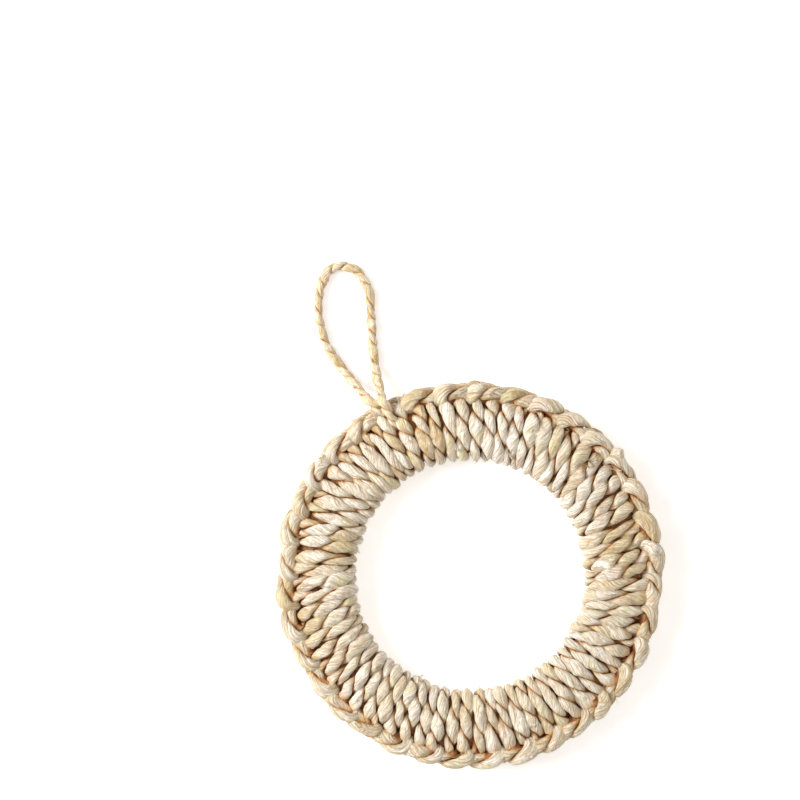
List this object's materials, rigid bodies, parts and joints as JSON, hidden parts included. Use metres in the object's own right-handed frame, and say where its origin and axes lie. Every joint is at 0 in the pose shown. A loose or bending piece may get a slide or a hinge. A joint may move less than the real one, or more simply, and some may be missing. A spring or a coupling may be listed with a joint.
{
  "type": "textile wall hanging",
  "caption": "Flat ring crocheted from thick twisted corn-husk cord, with a chain of links round the rim and a thin cord loop to hang it by.",
  "frame": {"origin": "centre of the ring on the plane that its underside rests on", "axes": "+Z up through the hole, from the underside to the front; +Y up in the picture; the hanging loop leaves the rim towards -X and +Y"},
  "size_m": [0.2014, 0.2662, 0.0219],
  "materials": {
    "husk_cord": "dry corn husk twisted to a two-ply cord, cream to tan with orange-brown hollows, faintly streaked along the husk",
    "pale_husk_cord": "thin two-ply cord of pale cream husk, satin"
  },
  "bodies": {
    "root": {"crocheted_ring": "husk_cord", "hanging_loop": "pale_husk_cord"}
  },
  "joints": []
}
